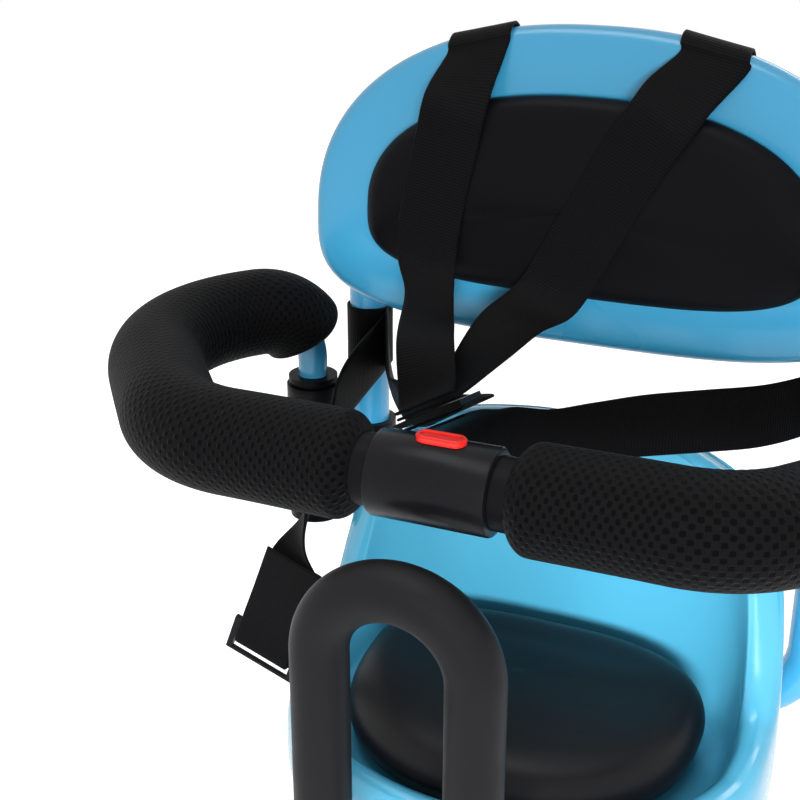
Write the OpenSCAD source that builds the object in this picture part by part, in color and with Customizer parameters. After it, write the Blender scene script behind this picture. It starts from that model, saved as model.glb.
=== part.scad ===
// Child seat for a bicycle rack: moulded seat and back on a bent tube frame,
// with a guard rail that opens at a clasp in the middle.
// The child faces -Y, +X is the child's left, and the base plate's foot is at z = 0.

/* [Guard rail] */
// Height of the guard rail's centre line above the foot of the base plate
guard_height = 293; // [280:1:320]
// How far the guard's front line lies ahead of the middle of the seat
guard_reach = 125; // [118:1:145]
// Half length of the guard's straight front
guard_straight = 107; // [100:1:115]
// Centre line radius of the guard's front corners
guard_corner_r = 61; // [50:1:70]
// Angle of the flare behind each front corner
guard_flare = 51; // [46:1:56]
// Straight length of each flare
guard_run = 54; // [46:1:62]
// Centre line radius of the sweep from the flare in to the post
guard_sweep_r = 86; // [80:1:92]
// Angle through which the guard has turned at the end of the sweep
guard_turn = 130; // [125:1:135]
// Centre line radius of the bend down into the post
guard_rear_r = 35; // [32:1:40]
// Diameter of the guard tube
guard_tube_d = 18; // [16:0.5:20]
// Wall of the guard tube
guard_wall = 1.5; // [1:0.1:2.5]
// Depth of the guard's pin inside its bush
guard_pin = 48; // [35:1:55]

/* [Foam sleeves] */
// Diameter of the foam sleeves on the guard
sleeve_d = 52; // [40:1:53]
// Radius of the sleeve's rounded front edge
sleeve_round = 8; // [4:0.5:10]
// How far round the rear bend the sleeve reaches, in degrees
sleeve_bend = 62; // [40:1:80]

/* [Clasp] */
// Diameter of the clasp
clasp_d = 41; // [36:0.5:46]
// Length of the clasp along the rail
clasp_len = 58; // [50:1:70]
// Length of each collar beside the clasp
collar_len = 7.5; // [5:0.5:12]
// Diameter of each collar
collar_d = 34; // [28:0.5:38]
// Length of the release button
button_len = 24; // [20:0.5:28]
// Width of the release button
button_w = 9.5; // [8:0.5:11]
// How far the button stands proud of the clasp
button_proud = 2.4; // [1.5:0.1:4]
// Travel of the release button
button_travel = 3; // [2:0.1:3.5]

/* [Guard posts] */
// Outside diameter of the post tubes
post_d = 33; // [30:0.5:36]
// Wall of the post tubes
post_wall = 2; // [1.5:0.1:3]
// Length of the post tubes
post_len = 88; // [80:1:100]
// Height of the clamp on the back upright
clamp_h = 46; // [30:1:60]

/* [Back hoop] */
// Distance of each upright from the middle
upright_x = 147; // [142:1:160]
// Distance of the uprights behind the middle of the seat
upright_y = 122; // [118:1:135]
// Diameter of the hoop tube
hoop_d = 25; // [22:0.5:28]
// Wall of the hoop tube
hoop_wall = 1.5; // [1:0.1:2.5]
// Height of the hoop's cross tube above the foot
hoop_low = 55; // [52:1:60]
// Centre line radius of the hoop's corners
hoop_corner_r = 45; // [38:1:55]
// Length of the uprights above the bend
hoop_top = 95; // [92:1:118]
// Backward lean of the back, in degrees
back_lean = 3.4; // [0:0.1:8]
// Thickness of the flat bars behind the backrest
bar_t = 4; // [3:0.5:6]

/* [Backrest] */
// Half width of the backrest
back_half = 170; // [160:1:180]
// Rise of the backrest's outline above its widest line
back_up = 118; // [105:1:130]
// Drop of the backrest's outline below its widest line
back_down = 62; // [55:1:70]
// Height of the widest line above the guard's level
back_mid = 52; // [45:1:60]
// Thickness of the backrest
back_t = 18; // [14:0.5:22]
// Half width of the back cushion
pad_half = 131; // [120:1:140]
// Rise of the back cushion above its widest line
pad_up = 71.5; // [60:0.5:80]
// Drop of the back cushion below its widest line
pad_down = 41.5; // [35:0.5:48]
// Thickness of the back cushion
pad_t = 17; // [12:0.5:22]

/* [Seat shell] */
// Half width of the seat rim's crest
seat_half = 130; // [120:1:134]
// Reach of the rim's crest ahead of the seat's widest line
seat_front = 113; // [100:1:120]
// Reach of the rim's crest behind the seat's widest line
seat_rear = 68; // [60:1:72]
// Place of the seat's widest line behind the middle
seat_mid = 20; // [15:1:22]
// Height of the shell's underside above the foot
seat_low = 31; // [31:1:36]
// Height of the pan floor above the foot
pan_high = 71; // [66:1:76]
// Height of the rim's crest at the front
rim_front = 90; // [85:1:100]
// Height of the rear wall's lip at the middle
lip_high = 243; // [230:1:250]
// Thickness of the shell's walls under the pan
shell_wall = 5; // [4:0.5:8]
// Thickness of the ribs under the pan
rib_t = 3; // [2:0.5:4]

/* [Seat cushion] */
// Half width of the seat cushion
cushion_half = 104; // [95:1:106]
// Thickness of the seat cushion at its crown
cushion_t = 41; // [32:1:44]
// How much thicker the seat cushion is at its rear edge
cushion_rise = 20; // [0:1:24]

/* [Handle and base] */
// Diameter of the main tube
main_d = 22; // [20:0.5:24]
// Wall of the main tube
main_wall = 2; // [1.5:0.1:3]
// Outside diameter of the handle's foam grip
grip_d = 27.5; // [26:0.5:32]
// Distance of each handle leg from the middle
handle_half = 37.5; // [34:0.5:42]
// Distance of the handle ahead of the middle of the seat
handle_y = 172; // [170:1:185]
// Height of the handle's centre line at its top
handle_top = 261; // [245:1:262]
// Height of the grip's lower ends
grip_low = 95; // [80:1:110]
// Centre line radius of the bend at the foot of the handle
foot_r = 45; // [40:1:55]
// Width of the base plate
base_w = 150; // [146:1:170]
// Length of the base plate
base_l = 190; // [180:1:220]
// Thickness of the base plate
base_t = 5; // [4:0.5:6]
// Distance between the base plate's holes across the seat
hole_dx = 110; // [109:1:120]
// Distance between the base plate's holes along the seat
hole_dy = 140; // [136:1:160]
// Diameter of the base plate's holes
hole_d = 8.5; // [6.5:0.1:9]

/* [Harness] */
// Width of the webbing
web_w = 38; // [30:1:40]
// Thickness of the webbing
web_t = 1.6; // [1.2:0.1:2]

/* [Hidden] */
$fn = 64;

// Clearances: soft parts and seats, sliding parts, and the guard's turning pin
seat_gap = 0.3;
slide_gap = 0.35;
pin_gap = 0.08;
cut = 1;

blue = [0.25, 0.66, 0.83];
black = [0.09, 0.09, 0.10];
grey = [0.24, 0.24, 0.25];

// Middle of the guard, and the place of the right post seen from above
guard_y = -guard_reach;
flare_x = guard_straight + guard_corner_r * sin(guard_flare) + guard_run * cos(guard_flare);
flare_y = guard_y + guard_corner_r * (1 - cos(guard_flare)) + guard_run * sin(guard_flare);
sweep_x = flare_x + guard_sweep_r * (sin(guard_turn) - sin(guard_flare));
sweep_y = flare_y + guard_sweep_r * (cos(guard_flare) - cos(guard_turn));
post_x = sweep_x + guard_rear_r * cos(guard_turn);
post_y = sweep_y + guard_rear_r * sin(guard_turn);
bush_top = guard_height - 46;
flange_h = 3.5;
neck_h = 2;
cap_h = 2.5;
post_top = bush_top - flange_h - neck_h - cap_h;
pin_low = bush_top - guard_pin;
pin_len = guard_height - guard_rear_r - pin_low;
sleeve_x = clasp_len / 2 + seat_gap + collar_len + seat_gap;

// One superellipse quadrant value, and a point at angle t on a two-part outline
function sgn_pow(v, p) = sign(v) * pow(abs(v), p);
function egg(t, a, up, down, n_up, n_down) =
    let(n = cos(t) > 0 ? n_down : n_up, b = cos(t) > 0 ? down : up)
    [a * sgn_pow(sin(t), 2 / n), -b * sgn_pow(cos(t), 2 / n)];

// Faces that join equal rings one after another and close both ends; each ring
// runs anticlockwise as seen from the ring that follows it
function skin_faces(rings, n) = concat(
    [[for (i = [0:n - 1]) i]],
    [for (k = [0:rings - 2], i = [0:n - 1], half = [0, 1])
        let(a = k * n + i, b = k * n + (i + 1) % n)
        half == 0 ? [a, a + n, b + n] : [a, b + n, b]],
    [[for (i = [n - 1:-1:0]) (rings - 1) * n + i]]);
module skin(ring_list) {
    n = len(ring_list[0]);
    points = [for (r = ring_list, p = r) p];
    polyhedron(points, skin_faces(len(ring_list), n), convexity = 6);
}

// Bent tubes: their straights and bends stop just short of each other, and a slight
// bead at each joint makes them one solid
bead_h = 0.1;
joint_gap = 0.3;
module bead(d) { rotate([0, 90, 0]) sphere(d = d + 2 * bead_h); }

// Frame of a point on the leaning back: x across, y behind the uprights, z up
module back_frame() {
    translate([0, upright_y, guard_height]) rotate([-back_lean, 0, 0]) children();
}
function on_back(p) = [p[0],
    upright_y + p[1] * cos(back_lean) + p[2] * sin(back_lean),
    guard_height - p[1] * sin(back_lean) + p[2] * cos(back_lean)];
bar_back = -hoop_d / 2 + 1;
bar_front = -hoop_d / 2 - bar_t;
back_face = bar_front - seat_gap / 2;
back_front = back_face - back_t;
bar_z = [15, 65];
bar_h = 25;
back_bolt_x = 100;

/* Seat shell */
seat_sides = 60;
function seat_ring(d, z_of, share) = [for (i = [0:seat_sides - 1])
    let(t = 360 * i / seat_sides,
        p = egg(t, seat_half + d, seat_rear + d * share, seat_front + d * share, 3.6, 2.15))
    [p[0], p[1] + seat_mid, z_of[i]]];
// Height of the crest round the rim: low in front, rising at the rear corners to the lip
rise = lip_high - rim_front;
function crest(t) = let(s = t > 180 ? 360 - t : t)
    rim_front + rise * lookup(s, [[0, 0], [75, 0.005], [90, 0.05], [100, 0.2], [110, 0.41],
                                  [120, 0.62], [135, 0.79], [150, 0.89], [165, 0.96], [180, 1]]);
crest_z = [for (i = [0:seat_sides - 1]) crest(360 * i / seat_sides)];
function level(z) = [for (i = [0:seat_sides - 1]) z];
function blend_z(low, drop, f) = [for (c = crest_z) low + (c - drop - low) * f];
module seat_outside() {
    skin([seat_ring(0, level(seat_low), 1), seat_ring(8, level(seat_low + 4), 1),
          seat_ring(12, level(seat_low + 14), 1), seat_ring(13, blend_z(seat_low + 14, 12, 0.5), 1),
          seat_ring(12, blend_z(seat_low + 14, 12, 1), 1), seat_ring(9, blend_z(0, 4, 1), 1),
          seat_ring(5, blend_z(0, 1, 1), 1), seat_ring(1, blend_z(0, 0, 1), 1),
          seat_ring(-3, blend_z(0, 1, 1), 1), seat_ring(-6, blend_z(0, 4, 1), 0.9),
          seat_ring(-8, blend_z(pan_high, 9, 1), 0.8), seat_ring(-9, blend_z(pan_high, 9, 0.55), 0.7),
          seat_ring(-12, blend_z(pan_high, 9, 0.2), 0.6),
          seat_ring(-16, blend_z(pan_high, 9, 0.06), 0.55),
          seat_ring(-22, level(pan_high), 0.5)]);
}
// Hollow under the pan, open below and crossed by ribs and bolt bosses
module seat_hollow() {
    skin([seat_ring(8 - shell_wall, level(seat_low - cut), 1),
          seat_ring(12 - shell_wall, level(seat_low + 14), 1),
          seat_ring(11 - shell_wall, level(pan_high - shell_wall - 6), 1),
          seat_ring(2 - shell_wall, level(pan_high - shell_wall), 1)]);
}
seat_bolt_x = 65;
seat_bolt_y = 50;
boss_r = 8;
rib_pitch = 40;
module seat_ribs() {
    for (i = [-3:3]) {
        translate([i * rib_pitch + rib_pitch / 2 - rib_t / 2, -150, seat_low])
            cube([rib_t, 300, pan_high - seat_low - shell_wall / 2]);
        translate([-200, i * rib_pitch + rib_pitch / 2 - rib_t / 2, seat_low])
            cube([400, rib_t, pan_high - seat_low - shell_wall / 2]);
    }
    seat_bosses(boss_r);
}
module seat_bosses(r) {
    for (x = [-1, 1], y = [-1, 1])
        translate([x * seat_bolt_x, y * seat_bolt_y, seat_low])
            cylinder(r = r, h = pan_high - seat_low - shell_wall / 2);
}
bolt_d = 6;
bolt_hole = bolt_d + 2 * seat_gap;
seat_bolt_in = 16;
module seat_shell() {
    color(blue) difference() {
        seat_outside();
        difference() {
            seat_hollow();
            seat_ribs();
        }
        for (x = [-1, 1], y = [-1, 1])
            translate([x * seat_bolt_x, y * seat_bolt_y, seat_low - cut])
                cylinder(d = bolt_hole, h = seat_bolt_in + cut + seat_gap);
    }
}

/* Seat cushion */
cushion_sides = 48;
function cushion_ring(s, z) = [for (i = [0:cushion_sides - 1])
    let(t = 360 * i / cushion_sides,
        front = seat_front - 14,
        rear = seat_rear - 15,
        p = egg(t, cushion_half - s, rear - s, front - s, 2.9, 2.2),
        back = (p[1] + front) / (front + rear))
    [p[0], p[1] + seat_mid, pan_high + z + cushion_rise * pow(back, 4) * z / cushion_t]];
module seat_cushion() {
    t = cushion_t;
    color(black) skin([cushion_ring(10, 0.8), cushion_ring(3, t * 0.15), cushion_ring(0, t * 0.38),
        cushion_ring(2, t * 0.6), cushion_ring(8, t * 0.78), cushion_ring(20, t * 0.91),
        cushion_ring(36, t * 0.98), cushion_ring(50, t)]);
}

/* Backrest and its cushion */
back_sides = 60;
function back_ring(a, up, down, mid, d, y) = [for (i = [0:back_sides - 1])
    let(p = egg(360 * i / back_sides, a - d, up - d, down - d, 2.25, 3.4))
    [p[0], y, mid + p[1]]];
function edge_round(a, up, down, mid, y0, y1, r) = [for (k = [0:8])
    let(q = 90 - k * 22.5, y = (y0 + y1) / 2 + (y1 - y0) / 2 * sin(q))
    back_ring(a, up, down, mid, r * (1 - cos(q)), y)];
module backrest() {
    color(blue) difference() {
        back_frame() skin(edge_round(back_half, back_up, back_down, back_mid,
                                     back_front, back_face, back_t / 2));
        back_bolt_places() rotate([90, 0, 0])
            cylinder(d = bolt_hole, h = bar_t + back_bolt_in + seat_gap);
    }
}
pad_mid = back_mid + 10;
pad_back = back_front - seat_gap;
module back_cushion() {
    t = pad_t;
    steps = [[5, 0], [1.5, 0.12], [0, 0.3], [1.5, 0.55], [6, 0.78], [14, 0.92], [26, 0.98], [40, 1]];
    color(black) back_frame() skin([for (k = [0:len(steps) - 1])
        back_ring(pad_half, pad_up, pad_down, pad_mid, steps[k][0], pad_back - t * steps[k][1])]);
}
back_bolt_in = 12;
module back_bolt_places() {
    back_frame() for (x = [-1, 1], z = bar_z)
        translate([x * back_bolt_x, bar_front + bar_t + 1, z + bar_h / 2]) children();
}
module back_bolts() {
    color(grey) back_bolt_places() {
        translate([0, 1, 0]) rotate([90, 0, 0]) cylinder(d = bolt_d, h = bar_t + back_bolt_in + 1);
        translate([0, seat_gap, 0]) rotate([-90, 0, 0]) cylinder(d = 12, h = 1.2);
        translate([0, seat_gap, 0]) rotate([-90, 0, 0]) cylinder(d = 10, h = 5, $fn = 6);
    }
}

/* Back hoop: two uprights, a cross tube with round corners and two flat bars */
hoop_bend_z = hoop_low + hoop_corner_r;
module hoop_path(d, extra) {
    half = upright_x - hoop_corner_r;
    translate([-half, upright_y, hoop_low]) rotate([0, 90, 0]) cylinder(d = d, h = 2 * half);
    for (s = [0, 1]) mirror([s, 0, 0]) {
        translate([half, upright_y, hoop_bend_z]) rotate([90, 0, 0]) rotate([0, 0, -90])
            rotate_extrude(angle = 90) translate([hoop_corner_r, 0]) circle(d = d);
        translate([upright_x, upright_y, hoop_bend_z])
            cylinder(d = d, h = guard_height - hoop_bend_z - joint_gap);
        translate([upright_x, upright_y, guard_height]) rotate([0, 90, 0]) bead(d);
        back_frame() translate([upright_x, 0, joint_gap])
            cylinder(d = d, h = hoop_top + extra - joint_gap);
    }
}
module back_hoop() {
    color(blue) {
        difference() {
            hoop_path(hoop_d, 0);
            hoop_path(hoop_d - 2 * hoop_wall, cut);
        }
        difference() {
            back_frame() for (z = bar_z)
                translate([-upright_x - 6, bar_front, z]) cube([2 * upright_x + 12, bar_t + 1, bar_h]);
            back_bolt_places() rotate([90, 0, 0]) translate([0, 0, -cut])
                cylinder(d = bolt_hole, h = bar_t + 4);
        }
    }
}
module hoop_caps() {
    color(black) back_frame() for (s = [-1, 1]) translate([s * upright_x, 0, hoop_top]) {
        translate([0, 0, -8]) cylinder(d = hoop_d - 2 * hoop_wall - seat_gap, h = 8);
        cylinder(d = hoop_d, h = 2);
        translate([0, 0, 2]) cylinder(d1 = hoop_d, d2 = hoop_d - 5, h = 2);
    }
}

/* Main frame: one bent tube from the handle to the rails, with what is welded to it */
rail_z = base_t + main_d / 2;
rail_end = 140;
module main_path(d, extra) {
    top = handle_top - handle_half;
    translate([0, -handle_y, top]) rotate([90, 0, 0])
        rotate_extrude(angle = 180) translate([handle_half, 0]) circle(d = d);
    for (s = [-1, 1]) translate([s * handle_half, -handle_y, 0]) {
        translate([0, 0, rail_z + foot_r]) cylinder(d = d, h = top - rail_z - foot_r);
        translate([0, foot_r, rail_z + foot_r]) rotate([0, -90, 0]) rotate([0, 0, 180])
            rotate_extrude(angle = 90) translate([foot_r, 0]) circle(d = d);
        translate([0, foot_r, rail_z]) rotate([-90, 0, 0])
            cylinder(d = d, h = rail_end + handle_y - foot_r + extra);
    }
}
ring_wall = 4;
ring_w = 22;
module rear_clamps() {
    for (s = [-1, 1]) translate([s * handle_half - ring_w / 2, upright_y, hoop_low]) {
        rotate([0, 90, 0]) cylinder(d = hoop_d + 2 * seat_gap + 2 * ring_wall, h = ring_w);
        translate([ring_w / 2 - 5, -13, rail_z + main_d / 2 - 2 - hoop_low])
            cube([10, 26, hoop_low - rail_z - main_d / 2 - hoop_d / 2]);
    }
}
seat_bar_w = 25;
seat_bar_x = 80;
module main_frame() {
    color(black) {
        difference() {
            main_path(main_d, 0);
            main_path(main_d - 2 * main_wall, cut);
        }
        difference() {
            translate([-base_w / 2, -base_l / 2, 0]) cube([base_w, base_l, base_t + 0.5]);
            for (x = [-1, 1], y = [-1, 1])
                translate([x * hole_dx / 2, y * hole_dy / 2, -cut])
                    cylinder(d = hole_d, h = base_t + 3);
        }
        difference() {
            for (y = [-1, 1])
                translate([-seat_bar_x, y * seat_bolt_y - seat_bar_w / 2, base_t + main_d - 1])
                    cube([2 * seat_bar_x, seat_bar_w, seat_low - base_t - main_d + 1]);
            for (x = [-1, 1], y = [-1, 1])
                translate([x * seat_bolt_x, y * seat_bolt_y, base_t])
                    cylinder(d = bolt_hole, h = seat_low);
        }
        difference() {
            rear_clamps();
            translate([-100, upright_y, hoop_low]) rotate([0, 90, 0])
                cylinder(d = hoop_d + 2 * seat_gap, h = 200);
        }
    }
}
module seat_bolts() {
    head = base_t + main_d - 1 - seat_gap / 2;
    color(grey) for (x = [-1, 1], y = [-1, 1]) translate([x * seat_bolt_x, y * seat_bolt_y, head]) {
        cylinder(d = bolt_d, h = seat_low - head + seat_bolt_in);
        translate([0, 0, -1.2]) cylinder(d = 12, h = 1.2);
        translate([0, 0, -5]) cylinder(d = 10, h = 4, $fn = 6);
    }
}
module rail_plugs() {
    color(black) for (s = [-1, 1]) translate([s * handle_half, rail_end, rail_z]) rotate([-90, 0, 0]) {
        translate([0, 0, -10]) cylinder(d = main_d - 2 * main_wall - seat_gap, h = 10);
        cylinder(d = main_d, h = 3);
    }
}
module grip_path(d, low) {
    top = handle_top - handle_half;
    translate([0, -handle_y, top]) rotate([90, 0, 0])
        rotate_extrude(angle = 180) translate([handle_half, 0]) circle(d = d);
    for (s = [-1, 1]) translate([s * handle_half, -handle_y, low]) cylinder(d = d, h = top - low);
}
module handle_grip() {
    color(black) difference() {
        grip_path(grip_d, grip_low);
        grip_path(main_d + 2 * seat_gap, grip_low - cut);
    }
}

/* Guard posts on the uprights, and the bushes that the guard turns in */
clamp_z = post_top - post_len + 6;
module guard_post() {
    dx = upright_x - post_x;
    dy = upright_y - post_y;
    reach = sqrt(dx * dx + dy * dy);
    color(black) difference() {
        union() {
            translate([post_x, post_y, post_top - post_len]) cylinder(d = post_d, h = post_len);
            translate([upright_x, upright_y, clamp_z])
                cylinder(d = hoop_d + 2 * seat_gap + 2 * ring_wall, h = clamp_h);
            translate([post_x, post_y, clamp_z]) rotate([0, 0, atan2(dy, dx)])
                translate([0, -4, 0]) cube([reach, 8, clamp_h]);
        }
        translate([post_x, post_y, post_top - post_len - cut])
            cylinder(d = post_d - 2 * post_wall, h = post_len + 2 * cut);
        translate([upright_x, upright_y, clamp_z - cut])
            cylinder(d = hoop_d + 2 * seat_gap, h = clamp_h + 2 * cut);
    }
}
module guard_post_right() { guard_post(); }
module guard_post_left() { mirror([1, 0, 0]) guard_post(); }
module post_bush() {
    inside = post_d - 2 * post_wall - seat_gap;
    color(black) translate([post_x, post_y, 0]) difference() {
        union() {
            translate([0, 0, bush_top - flange_h]) cylinder(d = post_d - 2.6, h = flange_h);
            translate([0, 0, bush_top - flange_h - neck_h]) cylinder(d = post_d - 6, h = neck_h);
            translate([0, 0, post_top]) cylinder(d = post_d, h = cap_h);
            translate([0, 0, pin_low - 5]) cylinder(d = inside, h = post_top - pin_low + 5);
        }
        translate([0, 0, pin_low - seat_gap]) cylinder(d = guard_tube_d + 2 * pin_gap, h = guard_pin + cut);
    }
}
module post_bush_right() { post_bush(); }
module post_bush_left() { mirror([1, 0, 0]) post_bush(); }

/* Guard rail: each arm is a bent tube in a foam sleeve */
module bend(d, r, angle) {
    short = joint_gap / r * 180 / PI;
    rotate([0, 0, short]) rotate_extrude(angle = angle - 2 * short)
        translate([r, 0]) circle(d = d);
}
module flare_frame() {
    translate([flare_x, flare_y, guard_height]) rotate([0, 0, guard_flare]) children();
}
module rear_frame() {
    translate([sweep_x, sweep_y, guard_height]) rotate([0, 0, guard_turn]) children();
}
// The straight from x0 with its first edge rounded by e, and the front corner
module arm_front(d, x0, e) {
    l = guard_straight - x0 - joint_gap;
    steps = e > 0 ? 6 : 0;
    translate([x0, guard_y, guard_height]) rotate([0, 90, 0]) rotate_extrude()
        polygon(concat([[0, 0]],
            [for (k = [0:steps]) [d / 2 - e * (1 - sin(k * 15)), e * (1 - cos(k * 15))]],
            [[d / 2, l], [0, l]]));
    translate([guard_straight, guard_y, guard_height]) bead(d);
    translate([guard_straight, guard_y + guard_corner_r, guard_height])
        rotate([0, 0, -90]) bend(d, guard_corner_r, guard_flare);
}
// The flare, the sweep, and the bend down, stopped at the given angle
module arm_side(d, stop) {
    flare_frame() {
        translate([-guard_run, 0, 0]) bead(d);
        translate([joint_gap - guard_run, 0, 0]) rotate([0, 90, 0])
            cylinder(d = d, h = guard_run - 2 * joint_gap);
        bead(d);
        translate([0, guard_sweep_r, 0]) rotate([0, 0, -90])
            bend(d, guard_sweep_r, guard_turn - guard_flare);
    }
    rear_frame() {
        bead(d);
        translate([0, 0, -guard_rear_r]) rotate([90, 0, 0]) rotate([0, 0, 90 - stop])
            bend(d, guard_rear_r, stop);
    }
}
module arm_pin(d, extra) {
    translate([post_x, post_y, pin_low + pin_len]) rotate([0, 90, 0]) bead(d);
    translate([post_x, post_y, pin_low - extra]) cylinder(d = d, h = pin_len + extra - joint_gap);
}
module guard_tube(x0) {
    bore = guard_tube_d - 2 * guard_wall;
    color(blue) difference() {
        union() {
            arm_front(guard_tube_d, x0, 0);
            arm_side(guard_tube_d, 90);
            arm_pin(guard_tube_d, 0);
        }
        arm_front(bore, x0 - cut, 0);
        arm_side(bore, 90);
        arm_pin(bore, cut);
    }
}
tube_in_clasp = 14.5;
module guard_tube_right() { guard_tube(sleeve_x); }
module guard_tube_left() { mirror([1, 0, 0]) guard_tube(tube_in_clasp); }
module sleeve() {
    bore = guard_tube_d + 2 * seat_gap;
    color(black) difference() {
        union() {
            arm_front(sleeve_d, sleeve_x, sleeve_round);
            arm_side(sleeve_d, sleeve_bend);
        }
        arm_front(bore, sleeve_x - cut, 0);
        arm_side(bore, sleeve_bend + 3);
    }
}
module sleeve_right() { sleeve(); }
module sleeve_left() { mirror([1, 0, 0]) sleeve(); }

/* Clasp: a body on the left arm, a conical plug on the right arm, and the release */
button_x = 1.5;
plug_tip_r = 5;
plug_len = 9.5;
plug_gap = 0.8;
pocket_top = 6.6;
pocket_low = -6;
flange_t = 3;
clasp_edge = 1.4;
module clasp_place() { translate([0, guard_y, guard_height]) children(); }
module stadium(l, w, h) {
    for (s = [-1, 1]) translate([s * (l - w) / 2, 0, 0]) cylinder(d = w, h = h);
    translate([-(l - w) / 2, -w / 2, 0]) cube([l - w, w, h]);
}
module clasp_body() {
    r = clasp_d / 2;
    h = clasp_len / 2;
    e = clasp_edge;
    socket = plug_len + plug_gap;
    color(black) clasp_place() difference() {
        rotate([0, 90, 0]) rotate_extrude()
            polygon([[0, -h], [r - e, -h], [r - 0.3 * e, -h + 0.3 * e], [r, -h + e], [r, h - e],
                     [r - 0.3 * e, h - 0.3 * e], [r - e, h], [0, h]]);
        translate([-h - cut, 0, 0]) rotate([0, 90, 0])
            cylinder(d = guard_tube_d + seat_gap, h = h + cut - tube_in_clasp + seat_gap);
        translate([h - socket, 0, 0]) rotate([0, 90, 0])
            cylinder(r1 = plug_tip_r, r2 = plug_tip_r + socket + cut, h = socket + cut);
        translate([button_x - button_len / 2 - 1.5, -button_w / 2 - 2.2, pocket_low])
            cube([button_len + 3, button_w + 4.4, pocket_top - pocket_low]);
        translate([button_x, 0, 0])
            stadium(button_len + 2 * slide_gap, button_w + 2 * slide_gap, clasp_d);
    }
}
module collar_left() {
    color(black) clasp_place() translate([-clasp_len / 2 - seat_gap, 0, 0]) rotate([0, -90, 0])
        difference() {
            cylinder(d = collar_d, h = collar_len);
            translate([0, 0, -cut]) cylinder(d = guard_tube_d + seat_gap, h = collar_len + 2 * cut);
        }
}
// The plug's cone leaves its socket sideways, because its slope is steeper than its path
module collar_right() {
    spigot = guard_tube_d - 2 * guard_wall - seat_gap;
    color(black) clasp_place() translate([clasp_len / 2 + seat_gap, 0, 0]) rotate([0, 90, 0]) {
        cylinder(d = collar_d, h = collar_len);
        translate([0, 0, -plug_len]) cylinder(r1 = plug_tip_r, r2 = plug_tip_r + plug_len, h = plug_len);
        translate([0, 0, collar_len]) cylinder(d = spigot, h = 20);
    }
}
module release_button() {
    top = clasp_d / 2 + button_proud;
    low = pocket_top - slide_gap;
    color("red") clasp_place() translate([button_x, 0, 0]) difference() {
        union() {
            translate([0, 0, low - flange_t]) stadium(button_len + 2, button_w + 3.4, flange_t);
            translate([0, 0, low - flange_t]) stadium(button_len, button_w, top - 0.7 - low + flange_t);
            translate([0, 0, low]) stadium(button_len - 1.2, button_w - 1.2, top - low);
        }
        translate([0, 0, top - 0.9]) stadium(button_len - 4, button_w - 4, 2);
    }
}
slider_top = pocket_top - slide_gap - flange_t;
slider_t = 1.2;
module latch_slider() {
    color(grey) clasp_place() {
        translate([-8, -4, slider_top - slider_t]) cube([22, 8, slider_t]);
        translate([12.8, -4, slider_top - 4]) cube([slider_t, 8, 4]);
    }
}
spring_turns = 4;
spring_r = 2.8;
spring_wire = 0.7;
module button_spring() {
    low = pocket_low + spring_wire / 2 + 0.1;
    high = slider_top - slider_t - spring_wire / 2 - 0.1;
    per = 16;
    n = spring_turns * per;
    color("silver") clasp_place() translate([button_x - 2.5, 0, 0])
        skin([for (k = [0:n]) let(q = 360 * k / per, z = low + (high - low) * k / n)
            [for (j = [0:5]) let(r = spring_r + spring_wire / 2 * cos(60 * j))
                [r * cos(q), r * sin(q), z - spring_wire / 2 * sin(60 * j)]]]);
}

/* Harness: bands of webbing through their stations, each a place and a width direction */
function unit(v) = v / norm(v);
function spline(p, q, r, s, u) = 0.5 * (2 * q + (r - p) * u + (2 * p - 5 * q + 4 * r - s) * u * u
                                        + (3 * q - p - 3 * r + s) * u * u * u);
function smooth(list, m) = let(n = len(list)) concat(
    [for (i = [0:n - 2], j = [0:m - 1])
        spline(list[max(i - 1, 0)], list[i], list[i + 1], list[min(i + 2, n - 1)], j / m)],
    [list[n - 1]]);
module band(stations, m) {
    p = smooth([for (s = stations) s[0]], m);
    w = [for (v = smooth([for (s = stations) s[1]], m)) unit(v)];
    n = len(p);
    skin([for (k = [0:n - 1])
        let(along = unit(p[min(k + 1, n - 1)] - p[max(k - 1, 0)]), side = w[k] * web_w / 2,
            up = unit(cross(along, w[k])) * web_t / 2)
        [p[k] + side + up, p[k] - side + up, p[k] - side - up, p[k] + side - up]]);
}
// Place of the centre slider, with its long side along a and its face along f
slider_c = [-45, guard_y + 105, guard_height - 15];
slider_a = [0.87, 0, 0.5];
slider_f = unit([-0.49, 0.168, 0.855]);
slider_b = cross(slider_f, slider_a);
strap_y = back_front - pad_t - seat_gap - web_t - 0.4;
edge_y = (back_front + back_face) / 2;
edge_r = back_t / 2 + web_t / 2 + seat_gap + 0.5;
behind_y = bar_back + web_t / 2 + seat_gap;
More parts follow.
